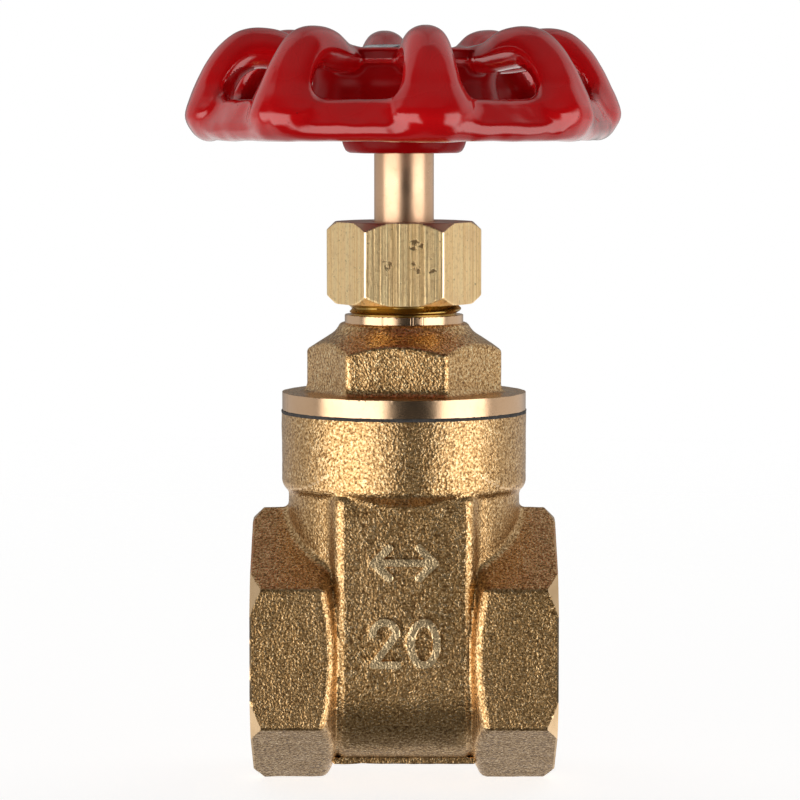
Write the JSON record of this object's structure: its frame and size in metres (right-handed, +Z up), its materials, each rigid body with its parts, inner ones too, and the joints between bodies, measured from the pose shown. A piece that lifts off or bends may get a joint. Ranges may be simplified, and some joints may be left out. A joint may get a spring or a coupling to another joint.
{
  "type": "gate valve",
  "caption": "Threaded brass gate valve with hexagonal wrench ends, screwed bonnet, packing nut and a spoked round handwheel that winds a wedge gate up and down.",
  "frame": {"origin": "under the middle of the valve, level with the lowest edges of its two hexagonal ends", "axes": "+X along the waterway from inlet to outlet, +Z up the stem, the raised marks face -Y"},
  "size_m": [0.057, 0.057, 0.0977],
  "materials": {
    "cast_brass": "shot-blasted casting with fine grain",
    "bonnet_brass": "shot-blasted casting, turned flange edge and neck",
    "drawn_brass": "drawn hexagon bar with light draw marks",
    "turned_brass": "turned and lightly polished",
    "wedge_brass": "cast, ground seat rings",
    "red_enamel": "thick glossy dip-coated enamel",
    "zinc_steel": "bright zinc plate",
    "gasket_fibre": "dark compressed fibre sheet",
    "packing_graphite": "graphite yarn"
  },
  "bodies": {
    "valve_body": {"body": "cast_brass", "bonnet": "bonnet_brass", "bonnet_gasket": "gasket_fibre", "stem_retaining_ring": "turned_brass", "packing_washer": "turned_brass", "packing_ring_1": "packing_graphite", "packing_ring_2": "packing_graphite", "packing_ring_3": "packing_graphite", "packing_gland": "turned_brass", "packing_nut": "drawn_brass"},
    "stem_and_handwheel": {"stem": "turned_brass", "handwheel": "red_enamel", "handwheel_nut": "zinc_steel"},
    "wedge": {"wedge_gate": "wedge_brass"}
  },
  "joints": [
    {"name": "handwheel_turn", "type": "hinge", "parent": "valve_body", "child": "stem_and_handwheel", "pos_m": [0, 0, 0.085], "axis": [0, 0, 1], "range_deg": [-2894, 0]},
    {"name": "gate_lift", "type": "slide", "parent": "valve_body", "child": "wedge", "axis": [0, 0, 1], "range_m": [-0.0201, 0]}
  ],
  "couplings": [
    {"joint": "gate_lift", "follows": "handwheel_turn", "m_per_rad": 0.00039789}
  ]
}
